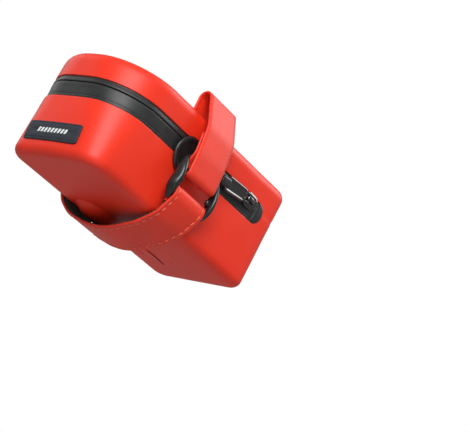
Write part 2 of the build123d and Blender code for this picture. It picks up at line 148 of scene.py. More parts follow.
def node_material(name, color, rough, shades=0.12, patch=0.02, grain=0.0006, grain_depth=0.03, coat=0.0,
                  coat_rough=0.2, sheen=0.0, weave=None, weave_depth=0.2, edge=0.0, specular=0.5):
    """A procedural material: colour and roughness vary in patches, fine grain or a weave gives bump, and edge
    paints a lighter highlight on sharp convex edges.
    """
    material = bpy.data.materials.new(name)
    material.use_nodes = True
    tree = material.node_tree
    tree.nodes.clear()
    link = tree.links.new
    output = add(tree, "OutputMaterial")
    shader = add(tree, "BsdfPrincipled", Specular_IOR_Level=specular, Coat_Weight=coat,
                 Coat_Roughness=coat_rough, Sheen_Weight=sheen, Sheen_Roughness=0.4)
    link(shader.outputs["BSDF"], output.inputs["Surface"])
    place = add(tree, "TexCoord").outputs["Object"]

    cloud = add(tree, "TexNoise", Scale=1 / patch, Detail=4)
    link(place, cloud.inputs["Vector"])
    ramp = add(tree, "ValToRGB")
    dark, light = ramp.color_ramp.elements
    dark.position, light.position = 0.3, 0.7
    dark.color = (*[c * (1 - shades) for c in color], 1)
    light.color = (*[min(1, c * (1 + shades) + 0.012 * shades) for c in color], 1)
    link(cloud.outputs["Fac"], ramp.inputs["Fac"])
    tint = ramp.outputs["Color"]
    # Painted highlight: sharp convex edges, found by pointiness, are mixed towards a lighter pinkish colour.
    if edge:
        edge_highlight = add(tree, "MapRange", From_Min=0.52, From_Max=0.62, To_Max=edge)
        link(add(tree, "NewGeometry").outputs["Pointiness"], edge_highlight.inputs["Value"])
        mix = add(tree, "MixRGB", Color2=(*[min(1, 0.35 * c + 0.3) for c in color], 1))
        link(edge_highlight.outputs["Result"], mix.inputs["Fac"])
        link(tint, mix.inputs["Color1"])
        tint = mix.outputs["Color"]
    link(tint, shader.inputs["Base Color"])

    wear = add(tree, "MapRange", To_Min=max(0.02, rough - ROUGH_SPREAD), To_Max=min(1, rough + ROUGH_SPREAD))
    link(cloud.outputs["Fac"], wear.inputs["Value"])
    link(wear.outputs["Result"], shader.inputs["Roughness"])

    fine = add(tree, "TexNoise", Scale=1 / grain, Detail=3)
    link(place, fine.inputs["Vector"])
    bump = add(tree, "Bump", Strength=1, Distance=grain_depth * MM)
    link(fine.outputs["Fac"], bump.inputs["Height"])
    normal = bump.outputs["Normal"]
    if weave:
        uv = add(tree, "UVMap")
        over = add(tree, "Math")
        over.operation = "MAXIMUM"
        for n, direction in enumerate("XY"):
            wave = add(tree, "TexWave", Scale=0.314 / weave, Distortion=0.4, Detail_Scale=2)
            wave.bands_direction = direction
            link(uv.outputs["UV"], wave.inputs["Vector"])
            link(wave.outputs["Fac"], over.inputs[n])
        threads = add(tree, "Bump", Distance=weave_depth * MM)
        link(over.outputs["Value"], threads.inputs["Height"])
        link(normal, threads.inputs["Normal"])
        normal = threads.outputs["Normal"]
    link(normal, shader.inputs["Normal"])
    return material


# edge sets the strength of the painted highlight on convex edges.
LOOKS = {
    "red_skin": dict(color=(0.84, 0.032, 0.010), rough=0.45, shades=0.05, patch=0.03, grain=0.0005,
                     coat=0.12, coat_rough=0.4, edge=0.12, specular=0.3),
    "red_strap": dict(color=(0.80, 0.034, 0.011), rough=0.5, shades=0.06, patch=0.012, grain=0.0004,
                      grain_depth=0.04, coat=0.08, coat_rough=0.4, sheen=0.06, weave=0.0009,
                      weave_depth=0.04, edge=0.25, specular=0.4),
    "zip_tape": dict(color=(0.011, 0.012, 0.012), rough=0.5, shades=0.25, patch=0.006, grain=0.0003,
                     grain_depth=0.04, coat=0.2, coat_rough=0.45, sheen=0.05),
    "zip_coil": dict(color=(0.018, 0.018, 0.019), rough=0.35, patch=0.003, grain=0.0002),
    "slider_metal": dict(color=(0.006, 0.006, 0.007), rough=0.18, patch=0.004, grain=0.002,
                         grain_depth=0.003, coat=1.0, coat_rough=0.03),
    "black_rubber": dict(color=(0.008, 0.009, 0.010), rough=0.4, shades=0.2, patch=0.004, grain=0.0003,
                         grain_depth=0.025, coat=0.25, coat_rough=0.3),
    "black_plastic": dict(color=(0.009, 0.011, 0.012), rough=0.3, shades=0.2, patch=0.005, grain=0.0003,
                          grain_depth=0.015),
    "hook_and_loop": dict(color=(0.012, 0.013, 0.014), rough=0.95, shades=0.5, patch=0.0012, grain=0.0003,
                          grain_depth=0.5, sheen=0.3),
    "label": dict(color=(0.026, 0.031, 0.042), rough=0.6, shades=0.15, patch=0.004, grain=0.0002,
                  specular=0.3),
    "label_print": dict(color=(0.82, 0.83, 0.85), rough=0.4, shades=0.08, patch=0.002, grain=0.0002,
                        grain_depth=0.02),
    "thread": dict(color=(0.90, 0.16, 0.08), rough=0.6, shades=0.15, patch=0.001, grain=0.0001,
                   grain_depth=0.05, sheen=0.4),
    # Painted shadow colour, for the strip drawn in the tongue's slit.
    "red_shadow": dict(color=(0.10, 0.004, 0.003), rough=0.8, patch=0.003, specular=0.1),
    "foam": dict(color=(0.05, 0.05, 0.052), rough=0.9, shades=0.3, patch=0.003, grain=0.0004,
                 grain_depth=0.3),
    "lining": dict(color=(0.03, 0.031, 0.034), rough=0.85, shades=0.3, patch=0.004, grain=0.0003,
                   grain_depth=0.2, sheen=0.5),
}
MATERIALS = {name: node_material(name, **look) for name, look in LOOKS.items()}


def finish_piece(piece, slot, body, nodes="", ends=None):
    """Give a piece its material by its slot's name and hide the CAD nodes that it stands for. It is attached
    to its body, but a piece with ends only has its transform baked into its points, and its two bodies are
    not used."""
    piece.data.materials.clear()
    piece.data.materials.append(MATERIALS[slot])
    if ends:
        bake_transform(piece)
    else:
        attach(piece, body)
    if nodes:
        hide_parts(*nodes.split())


# -------- mesh helpers

def placed(name, data):
    """A new object in the scene."""
    piece = bpy.data.objects.new(name, data)
    bpy.context.collection.objects.link(piece)
    return piece


def new_mesh(name, points, faces, uvs=None, move=True):
    """A smooth mesh object from points in millimetres. uvs has one pair of metres for each point."""
    mesh = bpy.data.meshes.new(name)
    mesh.from_pydata([put(p) if move else p for p in points], [], faces)
    mesh.validate()
    mesh.polygons.foreach_set("use_smooth", [True] * len(mesh.polygons))
    if uvs:
        layer = mesh.uv_layers.new(name="UVMap")
        for loop in mesh.loops:
            layer.data[loop.index].uv = uvs[loop.vertex_index]
    return placed(name, mesh)


def outward(piece):
    """Make all of a closed mesh's faces point outwards."""
    work = bmesh.new()
    work.from_mesh(piece.data)
    bmesh.ops.remove_doubles(work, verts=work.verts, dist=1e-6)
    bmesh.ops.recalc_face_normals(work, faces=work.faces)
    work.to_mesh(piece.data)
    work.free()
    return piece


def grid(rows, columns, close_rows=False, close_columns=False, base=0):
    """Quads over rows of points, with the last row or column joined to the first if asked."""
    faces = []
    for i in range(rows if close_rows else rows - 1):
        for j in range(columns if close_columns else columns - 1):
            a, b = i * columns, (i + 1) % rows * columns
            k = (j + 1) % columns
            faces.append((base + a + j, base + a + k, base + b + k, base + b + j))
    return faces


def tube(name, rings):
    """A skin over rings of points, with its two ends closed."""
    count = len(rings[0])
    points = [p for ring in rings for p in ring]
    faces = grid(len(rings), count, close_columns=True)
    for ring, start in ((rings[0], 0), (rings[-1], (len(rings) - 1) * count)):
        points.append(tuple(sum(p[i] for p in ring) / count for i in range(3)))
        faces += [(start + j, start + (j + 1) % count, len(points) - 1) for j in range(count)]
    return outward(new_mesh(name, points, faces))


def join(name, pieces):
    """Several mesh objects as one."""
    points, faces = [], []
    for piece in pieces:
        base = len(points)
        points += [tuple(v.co) for v in piece.data.vertices]
        faces += [tuple(base + i for i in face.vertices) for face in piece.data.polygons]
        bpy.data.objects.remove(piece)
    return new_mesh(name, points, faces, move=False)


def wobble(point, size, amount):
    """Smooth seeded unevenness: a small distance that depends on the place."""
    return noise.noise(Vector(point) / size) * amount


def around(radius, count=16):
    """Points round a circle, as pairs."""
    turns = [2 * math.pi * k / count for k in range(count)]
    return [(radius * math.cos(t), radius * math.sin(t)) for t in turns]


def squared(value, power):
    """A cosine or sine bent towards a box's outline, with its sign kept."""
    return math.copysign(abs(value) ** power, value)


def round_rect(half_u, half_v, radius, count=56):
    """Points round a rectangle with round corners, evenly by angle in each corner."""
    radius = min(radius, half_u, half_v)
    each = count // 4
    ring = []
    for corner, (su, sv) in enumerate(((1, 1), (-1, 1), (-1, -1), (1, -1))):
        for k in range(each):
            angle = math.pi / 2 * (corner + k / (each - 1))
            ring.append((su * (half_u - radius) + radius * math.cos(angle),
                         sv * (half_v - radius) + radius * math.sin(angle)))
    return ring


def plate(name, centre, half, radius, profile, place=on_side, taper=0.0):
    """A moulded plate on the right side. The profile is (inset from the outline, height w) pairs, and
    the taper narrows it towards the front."""
    rings = []
    for inset, w in profile:
        ring = round_rect(half[0] - inset, half[1] - inset, max(radius - inset, 0.25))
        rings.append([place(centre[0] + u, centre[1] + v * (1 - taper * u / half[0]), w) for u, v in ring])
    return tube(name, rings)


# -------- case

def corner_radius(full, inset):
    """A plan corner's radius below the outer surface: it shrinks evenly once the inset nears it."""
    return full - inset if inset < 0.6 * full else 0.4 * full * 0.6 * full / inset


def crown(y, half):
    """How far the rear wall bows out at a distance from the middle."""
    return REAR_CROWN * max(0.0, 1 - (y / half) ** 2)


def case_point(column, z, inset=0.0):
    """A point on the case. A column is (part of the outline, place in that part, side)."""
    part, value, side = column
    share = z / HEIGHT
    rear, front = -REAR_LEAN * share + inset, LENGTH - inset
    half = half_width(z) - inset
    rear_r = min(corner_radius(REAR_R_BOTTOM + (REAR_R_TOP - REAR_R_BOTTOM) * share, inset), 0.95 * half)
    front_r = max(corner_radius(FRONT_R, inset), 0.8 * half if inset > 20 else 0.0)
    if part == "rear":
        x, y = rear, value * (half - rear_r)
    elif part == "rear corner":
        x, y = rear + rear_r * (1 - math.cos(value)), half - rear_r * (1 - math.sin(value))
    elif part == "rear side":
        start = rear + rear_r
        x, y = start + (MID_X - start) * value, half
    elif part == "side":
        reach = (front - front_r - MID_X) / (LENGTH - FRONT_R - MID_X)
        x, y = MID_X + (value - MID_X) * reach, half
    elif part == "front corner":
        x, y = front - front_r * (1 - math.sin(value)), half - front_r * (1 - math.cos(value))
    else:
        x, y = front, (1 - value) * (half - front_r)
    if part in ("rear", "rear corner"):
        x -= crown(y, half)
    return x, side * y, z


def half_columns():
    """The outline's columns on one side, from the middle of the rear to the middle of the front."""
    quarter = math.pi / 2
    columns = [("rear", k / 5) for k in range(5)]
    columns += [("rear corner", quarter * k / 12) for k in range(13)]
    columns += [("rear side", k / 7) for k in range(1, 7)]
    columns += [("side", MID_X + (TIP_X - MID_X) * k / 27) for k in range(28)]
    columns += [("side", TIP_X + SLOT_R * math.sin(quarter * k / 8)) for k in range(1, 9)]
    columns += [("side", 132.4), ("side", 134.0)]
    columns += [("front corner", quarter * k / 7) for k in range(1, 8)]
    return columns + [("front", k / 5) for k in range(1, 6)]


HALF = half_columns()
COLUMNS = [(*c, -1) for c in HALF] + [(*c, 1) for c in reversed(HALF[1:-1])]


def slot_edges(column):
    """The zip slot's lower and upper heights at a column, or one height twice in front of the slot."""
    part, value, _ = column
    if part in ("rear", "rear corner", "rear side") or part == "side" and value <= TIP_X:
        return SLOT_LOW, SLOT_HIGH
    if part == "side" and value < SLOT_END:
        rise = math.sqrt(SLOT_R ** 2 - (value - TIP_X) ** 2)
        return SLOT_MID - rise, SLOT_MID + rise
    return SLOT_MID, SLOT_MID


def bulge(point):
    """How far the moulded skin stands out from its drawn outline: soft crowning and unevenness."""
    x, _, z = point
    along = max(0.0, math.sin(math.pi * min(max(x / LENGTH, 0), 1)))
    upright = max(0.0, math.sin(math.pi * min(max(z / HEIGHT, 0), 1)))
    away = min(1.0, min(abs(z - SLOT_LOW), abs(z - SLOT_HIGH)) / 8) if x < SLOT_END + 4 else 1.0
    soft = 0.35 * along * upright * away + wobble(point, 19.0, 0.22) * away
    hinge = 0.35 * math.exp(-((z - PARTING) / 0.7) ** 2) if x > LENGTH - 14 else 0.0
    return soft - hinge


def belly(x, y):
    """How far the underside sags between its edges."""
    lengthways = max(0.0, 1 - ((x - SAG_X) / SAG_REACH[0]) ** 2)
    return SAG * lengthways * max(0.0, 1 - (y / SAG_REACH[1]) ** 2)


def skin_point(column, z, inset=0.0):
    """A point of the moulded skin."""
    plain = case_point(column, z, inset)
    return case_point(column, z, inset - bulge(plain))


def case_rows(column):
    """The column's points from the middle of the underside to the middle of the top."""
    low, high = slot_edges(column)
    rows = [skin_point(column, 0.0, inset) for inset in INNER_INSETS]
    rows = [(x, y, z - belly(x, y)) for x, y, z in rows]
    for k in range(EDGE_STEPS + 1):
        t = math.pi / 2 * k / EDGE_STEPS
        rows.append(skin_point(column, BOTTOM_EDGE_R * (1 - math.cos(t)), BOTTOM_EDGE_R * (1 - math.sin(t))))
    rows += [skin_point(column, BOTTOM_EDGE_R + (low - BOTTOM_EDGE_R) * s) for s in LOWER_SHARES]
    shoulder = HEIGHT - TOP_EDGE_R
    rows += [skin_point(column, high + (shoulder - high) * s) for s in UPPER_SHARES]
    for k in range(1, EDGE_STEPS + 1):
        t = math.pi / 2 * k / EDGE_STEPS
        rows.append(skin_point(column, shoulder + TOP_EDGE_R * math.sin(t), TOP_EDGE_R * (1 - math.cos(t))))
    return rows + [skin_point(column, HEIGHT, inset) for inset in reversed(INNER_INSETS)]


def case_skin():
    """The moulded skin as one sheet, open only at the zip, with a rolled lip round that opening."""
    strips = [case_rows(c) for c in COLUMNS]
    rows, count = len(strips[0]), len(COLUMNS)
    split = len(INNER_INSETS) + EDGE_STEPS + 1 + len(LOWER_SHARES)
    points = [strips[j][i] for i in range(rows) for j in range(count)]
    open_column = [slot_edges(c)[0] < slot_edges(c)[1] for c in COLUMNS]
    faces = []
    for i in range(rows - 1):
        for j in range(count):
            k = (j + 1) % count
            if i == split - 1:
                continue
            faces.append((i * count + j, i * count + k, (i + 1) * count + k, (i + 1) * count + j))
    closed = {split * count + j: (split - 1) * count + j for j in range(count) if not open_column[j]}
    faces = [tuple(closed.get(v, v) for v in face) for face in faces]
    half = len(HALF)
    for base in (0, (rows - 1) * count):
        for j in range(half - 1):
            left, left_next = (count - j) % count, count - j - 1
            quad = [base + v for v in (j, left, left_next, j + 1)]
            kept = [v for n, v in enumerate(quad) if v not in quad[:n]]
            faces.append(tuple(kept))

    first = max(j for j in range(half) if open_column[j])
    order = [j % count for j in range(-first, first + 1)]
    loop = [(split - 1) * count + j for j in order]
    tip_left, tip_right = closed_tip(order[0], -1, split, count), closed_tip(order[-1], 1, split, count)
    loop = [tip_left, *loop, tip_right, *(split * count + j for j in reversed(order))]
    lips = [(0.16, 0.02), (0.3, 0.22), (0.34, 0.6), (0.2, 1.15)]
    previous = loop
    for into, deep in lips:
        ring = []
        for v in loop:
            ring.append(len(points))
            points.append(lip_point(points[v], into, deep))
        for n in range(len(loop)):
            m = (n + 1) % len(loop)
            faces.append((previous[n], previous[m], ring[m], ring[n]))
        previous = ring
    return outward(new_mesh("case_skin", points, faces))


def closed_tip(column, step, split, count):
    """The point where the slot's two edges meet, just in front of its last open column."""
    return (split - 1) * count + (column + step) % count


def lip_point(point, into, deep):
    """A point of the slot's rolled lip: towards the slot by one distance and into the wall by another."""
    x, y, z = point
    side = 1 if y > 0 else -1
    if x > TIP_X:
        towards = Vector((TIP_X - x, 0, SLOT_MID - z)).normalized()
    else:
        towards = Vector((0, 0, 1 if z < SLOT_MID else -1))
    corner = REAR_R_BOTTOM + (REAR_R_TOP - REAR_R_BOTTOM) * z / HEIGHT
    centre = (corner - REAR_LEAN * z / HEIGHT, half_width(z) - corner)
    if x >= centre[0]:
        out = Vector((0, side, 0))
    elif abs(y) <= centre[1]:
        out = Vector((-1, 0, 0))
    else:
        out = Vector((x - centre[0], y - side * centre[1], 0)).normalized()
    return tuple(Vector(point) + towards * into - out * deep)


# -------- zip

def zip_columns(front):
    """The outline's columns along the zip, from the right front end round the rear to the left."""
    part = [c for c in HALF if not (c[0] in ("front corner", "front") or c[0] == "side" and c[1] > front)]
    part.append(("side", front))
    return [(*c, -1) for c in reversed(part)] + [(*c, 1) for c in part[1:]]


# The tapes' cross-sections: (distance from the slot's edge, inset from the case's side)
LOWER_TAPE = [(-0.9, 1.3), (-0.1, 1.1), (0.3, 0.86), (0.8, 0.68), (1.4, 0.61), (1.8, 0.6), (1.97, 0.68),
              (2.15, 0.58), (3.2, 0.52), (4.6, 0.44), (6.0, 0.34), (7.1, 0.22), (8.0, 0.14), (8.6, 0.12),
              (8.9, 0.2), (9.02, 0.5), (9.0, 1.2), (8.8, 1.9)]
UPPER_TAPE = [(-0.9, 1.3), (-0.1, 1.1), (0.25, 0.85), (0.6, 0.66), (0.95, 0.58), (1.15, 0.64), (1.35, 0.52),
              (2.0, 0.34), (2.8, 0.17), (3.3, 0.12), (3.58, 0.2), (3.68, 0.5), (3.66, 1.2), (3.5, 1.9)]


def zip_tape(name, profile, edge, direction):
    """One coated tape, as a sheet with a thickness: a seam by the slot's edge, and a rolled zip edge."""
    columns = zip_columns(TAPE_FRONT)
    points, uvs = [], []
    length = 0.0
    for n, column in enumerate(columns):
        here = case_point(column, SLOT_MID)
        if n:
            length += math.dist(here, before)
        before = here
        for distance, inset in profile:
            z = edge + direction * distance
            ripple = wobble((here[0], here[1], z), 9.0, 0.16) * (1 if 1 < distance < 7 else 0.3)
            points.append(case_point(column, z, inset - ripple))
            uvs.append((length * MM, distance * MM))
    return new_mesh(name, points, grid(len(columns), len(profile)), uvs)


def zip_coil(name, low, direction):
    """A row of coil turns behind one tape, each a small flattened ring."""
    columns = zip_columns(COIL_FRONT)
    line = [case_point(c, PARTING, COIL_INSET) for c in columns]
    out = [case_point(c, PARTING, COIL_INSET - 1) for c in columns]
    points, faces = [], []
    for index, share, along in even_spots(line, COIL_PITCH):
        origin = Vector(line[index]).lerp(Vector(line[index + 1]), share)
        normal = (Vector(out[index]).lerp(Vector(out[index + 1]), share) - origin).normalized()
        ring = []
        for a, b in around(1.0, 10):
            height = low + direction * COIL_R * (1 + a)
            ring.append(origin + Vector((0, 0, height)) + b * (0.42 * normal + 0.22 * along))
        base = len(points)
        for k in range(10):
            tangent = (ring[(k + 1) % 10] - ring[k - 1]).normalized()
            side = tangent.cross(along).normalized()
            points += [tuple(ring[k] + a * side + b * along) for a, b in around(COIL_THREAD_R, 5)]
        faces += grid(10, 5, close_rows=True, close_columns=True, base=base)
    return new_mesh(name, points, faces)


def even_spots(line, spacing):
    """Places at an even spacing along a line: (segment, share of it, direction)."""
    spots, left = [], spacing / 2
    for index in range(len(line) - 1):
        a, b = Vector(line[index]), Vector(line[index + 1])
        run = (b - a).length
        while left <= run:
            spots.append((index, left / run, (b - a).normalized()))
            left += spacing
        left -= run
    return spots


def zip_garage(name, side):
    """The soft rubber cap over the zip's front end, domed, with a fine raised rim."""
    rings = []
    for inset, height in ((1.2, -0.9), (0.25, -0.6), (0.12, -0.1), (0.3, 0.12), (0.8, 0.28), (1.5, 0.4),
                          (2.3, 0.5), (3.3, 0.58), (4.3, 0.63), (5.4, 0.66)):
        rings.append([garage_point(k / 47, inset, height, side) for k in range(48)])
    return tube(name, rings)


def garage_point(share, inset, height, side):
    """A point of the cap: its outline is a half circle at the front and straight towards the rear."""
    reach = SLOT_R - inset
    rear = GARAGE_REAR + inset * 0.5
    straight = TIP_X - rear
    arc = math.pi * reach
    total = arc + 2 * straight + 2 * reach
    run = share * total * 0.9999
    if run < arc:
        angle = -math.pi / 2 + run / reach
        x, z = TIP_X + reach * math.cos(angle), SLOT_MID + reach * math.sin(angle)
    elif run < arc + straight:
        x, z = TIP_X - (run - arc), SLOT_MID + reach
    elif run < arc + straight + 2 * reach:
        x, z = rear, SLOT_MID + reach - (run - arc - straight)
    else:
        x, z = rear + (run - arc - straight - 2 * reach), SLOT_MID - reach
    sunk = min(max((125.5 - x) / 3.0, 0.0), 1.0)
    sunk = sunk * sunk * (3 - 2 * sunk)
    return x, side * (half_width(z) + height * (1 - sunk) - 0.9 * sunk), z


# -------- slider, tab and loop

def slider():
    """The slider: its top plate, the bridge that holds the tab, its nose, inner plate and post."""
    body = plate("slider_plate", (116.25, 0), (5.75, 4.4), 3.4,
                 [(1.0, 0.36), (0.3, 0.38), (0.05, 0.55), (0.0, 0.8), (0.15, 1.05), (0.45, 1.28), (0.9, 1.45),
                  (1.6, 1.58), (2.6, 1.66), (3.6, 1.7)], on_side, 0.08)
    arch = []
    path = [(111.45, 1.2), (111.4, 2.1), (111.55, 2.75), (112.1, 3.2), (113.2, 3.35), (114.8, 3.25),
            (116.3, 2.95), (117.4, 2.4), (117.9, 1.9), (118.1, 1.2)]
    for n, (u, w) in enumerate(path):
        before, after = path[max(n - 1, 0)], path[min(n + 1, len(path) - 1)]
        direction = Vector((after[0] - before[0], after[1] - before[1])).normalized()
        across = Vector((-direction.y, direction.x))
        ring = []
        for a, b in around(1.0):
            flat, thick = squared(a, 0.85) * 1.25, squared(b, 0.8) * 0.42
            ring.append(on_side(u + across.x * thick, flat, w + across.y * thick))
        arch.append(ring)
    bridge = tube("bridge", arch)
    nose = plate("nose", (119.6, 0), (1.5, 2.6), 1.2,
                 [(0.2, 1.3), (0.0, 1.6), (0.15, 1.9), (0.5, 2.05), (1.0, 2.1)])
    inner = plate("inner", (116.25, 0), (5.2, 3.8), 2.0, [(0.4, -4.3), (0.0, -4.1), (0.0, -3.5), (0.4, -3.3)])
    post = plate("post", (119.5, -0.08), (1.3, 0.26), 0.2, [(0, -3.6), (0, 0.6)])
    return join("zip_slider_body", [body, bridge, nose, inner, post])


def tab():
    """The tab with a dished face, its two arms and the pin that they hang on."""
    middle = ((TAB_REAR + TAB_FRONT) / 2, 0)
    half = ((TAB_FRONT - TAB_REAR) / 2, TAB_HALF)
    blade = plate("blade", middle, half, 3.6,
                  [(1.6, 1.78), (0.7, 1.72), (0.25, 1.78), (0.06, 1.95), (0.0, 2.2), (0.05, 2.5), (0.2, 2.75),
                   (0.45, 2.95), (0.8, 3.04), (1.15, 2.98), (1.4, 2.78), (1.6, 2.55), (1.9, 2.42), (2.4, 2.4),
                   (3.2, 2.42)], on_puller, 0.09)
    arms = []
    for v in (-2.45, 2.45):
        arms.append(plate("arm", (111.3, v), (2.2, 0.78), 0.7,
                          [(0.3, 1.98), (0.0, 2.1), (0.0, 2.65), (0.3, 2.86), (0.6, 2.9)], on_puller))
    rings = []
    for k, radius in ((-3.3, 0.3), (-3.2, 0.55), (-3.0, 0.6), (3.0, 0.6), (3.2, 0.55), (3.3, 0.3)):
        rings.append([on_puller(PIVOT_U + a, k, PIVOT_W + b) for a, b in around(radius)])
    return join("zip_tab", [blade, *arms, tube("pivot", rings)])


def loop_outline(radius, tip_radius, tip):
    """A teardrop round the loop's bow and a small circle at its tip, as (u, v) points."""
    gap = (tip[0] - LOOP_CENTRE[0], tip[1] - LOOP_CENTRE[1])
    towards = math.atan2(gap[1], gap[0])
    opening = math.acos((radius - tip_radius) / math.hypot(*gap))
    points = []
    for k in range(25):
        angle = towards + opening + (2 * math.pi - 2 * opening) * k / 24
        points.append((LOOP_CENTRE[0] + radius * math.cos(angle), LOOP_CENTRE[1] + radius * math.sin(angle)))
    small = []
    for k in range(7):
        angle = towards - opening + 2 * opening * k / 6
        small.append((tip[0] + tip_radius * math.cos(angle), tip[1] + tip_radius * math.sin(angle)))
    legs_down = [lerp2(points[-1], small[0], k / 6) for k in range(1, 6)]
    legs_up = [lerp2(small[-1], points[0], k / 6) for k in range(1, 6)]
    return points + legs_down + small + legs_up


def lerp2(a, b, share):
    """A pair of numbers part of the way from one pair to another."""
    return a[0] + (b[0] - a[0]) * share, a[1] + (b[1] - a[1]) * share


def finger_loop():
    """The rubber loop: a round rim, a thin dished web inside it, and a moulded head on the tab's bar."""
    rings = []
    for offset, w in ((-3.4, 1.0), (-1.5, 0.9), (-0.6, 0.6), (0.35, 0.45), (1.15, 0.75), (1.5, 1.4),
                      (1.3, 2.0), (0.6, 2.45), (-0.2, 2.5), (-0.9, 2.2), (-1.35, 1.7), (-1.9, 1.4),
                      (-3.4, 1.35), (-5.5, 1.32)):
        outline = loop_outline(LOOP_R + offset, max(1.5 + 0.62 * offset, 0.3), (TAB_REAR - 2.2, -0.2))
        ring = []
        for u, v in outline:
            lift = 0.25 * math.sin((u - 40) / 11) + wobble((u, v, 0), 7.0, 0.12)
            ring.append(on_puller(u, v, w + lift))
        rings.append(ring)
    rim = tube("rim", rings)
    head = plate("head", (TAB_REAR - 0.3, 0), (3.9, 2.7), 1.5,
                 [(0.9, 0.55), (0.2, 0.62), (0.0, 1.0), (0.0, 2.9), (0.15, 3.4), (0.5, 3.7), (1.1, 3.85),
                  (1.8, 3.88)], on_puller)
    return join("finger_loop", [rim, head])


# -------- webbing

def rounded(points, radii):
    """A line through a row of (y, z) corners, each rounded with its own radius."""
    line = [Vector(points[0])]
    for k in range(1, len(points) - 1):
        corner = Vector(points[k])
        before = (Vector(points[k - 1]) - corner).normalized()
        after = (Vector(points[k + 1]) - corner).normalized()
        opening = before.angle(after)
        radius = radii[k - 1]
        reach = radius / math.tan(opening / 2)
        centre = corner + (before + after).normalized() * radius / math.sin(opening / 2)
        start, end = corner + before * reach, corner + after * reach
        sweep = math.pi - opening
        turns = max(4, int(sweep * radius / ARC_STEP))
        spoke = start - centre
        sign = 1 if spoke.x * (end - centre).y - spoke.y * (end - centre).x > 0 else -1
        for n in range(turns + 1):
            line.append(centre + Matrix.Rotation(sign * sweep * n / turns, 2) @ spoke)
    line.append(Vector(points[-1]))
    dense = [line[0]]
    for a, b in zip(line, line[1:]):
        run = (b - a).length
        if run < 1e-4:
            continue
        pieces = max(1, int(run / LINE_STEP))
        dense += [a.lerp(b, n / pieces) for n in range(1, pieces + 1)]
    return dense


def normals(line):
    """The direction square to a flat line at each of its points."""
    result = []
    for n in range(len(line)):
        run = line[min(n + 1, len(line) - 1)] - line[max(n - 1, 0)]
        result.append(Vector((-run.y, run.x)).normalized())
    return result


def webbing_section(width, thickness, bead, groove):
    """A strip's cross-section: (across, out) pairs, with rolled edges and a stitched-down edge bead."""
    half, t = width / 2, thickness / 2
    face = [(half, 0.0), (half - 0.08, 0.5 * t), (half - 0.35, t), (half - 0.9, t + bead),
            (half - 1.7, t + bead * 0.8), (half - 2.3, t - groove * 0.4), (half - 2.7, t - groove),
            (half - 3.2, t - groove * 0.3), (half - 4.5, t + bead * 0.2), (half - 8.0, t + bead * 0.45)]
    upper = face + [(0.0, t + bead * 0.5)] + [(-s, h) for s, h in reversed(face)]
    lower = [(-half + 0.35, -t), (-half + 3, -t), (0, -t), (half - 3, -t), (half - 0.35, -t)]
    return upper + lower


def strip(name, line, section, edge_noise=0.12):
    """A strip swept along a (y, z) line, with a section across X."""
    out = normals(line)
    rings, uvs = [], []
    run = 0.0
    for n, point in enumerate(line):
        if n:
            run += (point - line[n - 1]).length
        end = min(n, len(line) - 1 - n)
        thin = 0.55 if end == 0 else 0.85 if end == 1 else 1.0
        for across, height in section:
            drift = wobble((run, 3.0 if across > 0 else 9.0, 1.0), 13.0, edge_noise)
            cup = wobble((run, across * 0.4, 5.0), 11.0, edge_noise)
            spot = point + out[n] * (height * thin + cup * 0.6)
            rings.append((STRAP_X + across * (1 + drift / 14), spot.x, spot.y))
            uvs.append((run * MM, across * MM))
    count = len(section)
    faces = grid(len(line), count, close_columns=True)
    faces.append(tuple(range(count - 1, -1, -1)))
    faces.append(tuple(range((len(line) - 1) * count, len(line) * count)))
    return new_mesh(name, rings, faces, uvs)


def other_side(points):
    """The same part of a route on the other side, in the order that carries on from it."""
    return [(-y, z) for y, z in reversed(points)]


WRAP_R = BAR_R + BAR_CLEARANCE + STRAP_T / 2
BAND_WRAP_R = BAR_R + BAR_CLEARANCE + BAND_T / 2
STRAP_FOLD = (UPPER_BAR[0] + WRAP_R, UPPER_BAR[1] - WRAP_R)
STRAP_KNEE = (STRAP_FOLD[0], UPPER_BAR[1] + 11.9)
BAND_FOLD = (LOWER_BAR[0] + BAND_WRAP_R, LOWER_BAR[1] + BAND_WRAP_R)
BAND_KNEE = (BAND_FOLD[0], LOWER_BAR[1] - 3.4)


def on_line(start, end, z):
    """The point at a height on the line through two points."""
    share = (z - start[1]) / (end[1] - start[1])
    return start[0] + share * (end[0] - start[0]), z


def strap_line():
    """The strap's middle line: a flap behind it, round a buckle's bar, up to the rail, down to the lid."""
    reach = RAIL_R + STRAP_T / 2
    dy, dz = RAIL_Y - RIM_POINT[0], RAIL_Z - RIM_POINT[1]
    angle = math.atan2(dz, dy) - math.asin(reach / math.hypot(dy, dz))
    inner = RAIL_Y - reach
    corner = (inner, RIM_POINT[1] + (inner - RIM_POINT[0]) / math.cos(angle) * math.sin(angle))
    layer = STRAP_T + HOOK_T + 2 * LAYER_GAP
    ends = [on_line(STRAP_KNEE, RIM_POINT, z) for z in (52.0, STRAP_KNEE[1])]
    points = [(y - layer, z) for y, z in ends]
    fold = UPPER_BAR[0] - WRAP_R
    points += [(fold, UPPER_BAR[1] + 5.0), (fold, STRAP_FOLD[1]), STRAP_FOLD, STRAP_KNEE, RIM_POINT,
               corner, (inner, HEIGHT + 0.2 + STRAP_T / 2)]
    radii = [6.0, 3.0, WRAP_R - 0.01, WRAP_R - 0.01, 30.0, 25.0, reach, 2.5]
    return rounded(points + other_side(points), radii + radii[::-1])


def band_line():
    """The band's middle line: a flap, round a buckle's bar, under the case and the same on the left."""
    inner = LOWER_BAR[0] - BAND_WRAP_R
    end = [(inner, FLAP_END), (inner, BAND_FOLD[1]), BAND_FOLD, BAND_KNEE]
    points = [*end, *BAND_LEFT, BAND_LOWEST, *BAND_RIGHT, *other_side(end)]
    radii = [BAND_WRAP_R - 0.01, BAND_WRAP_R - 0.01, BAND_KNEE_R, *BAND_RADII]
    return rounded(points, [*radii, BAND_LOWEST_R, *reversed(radii)])


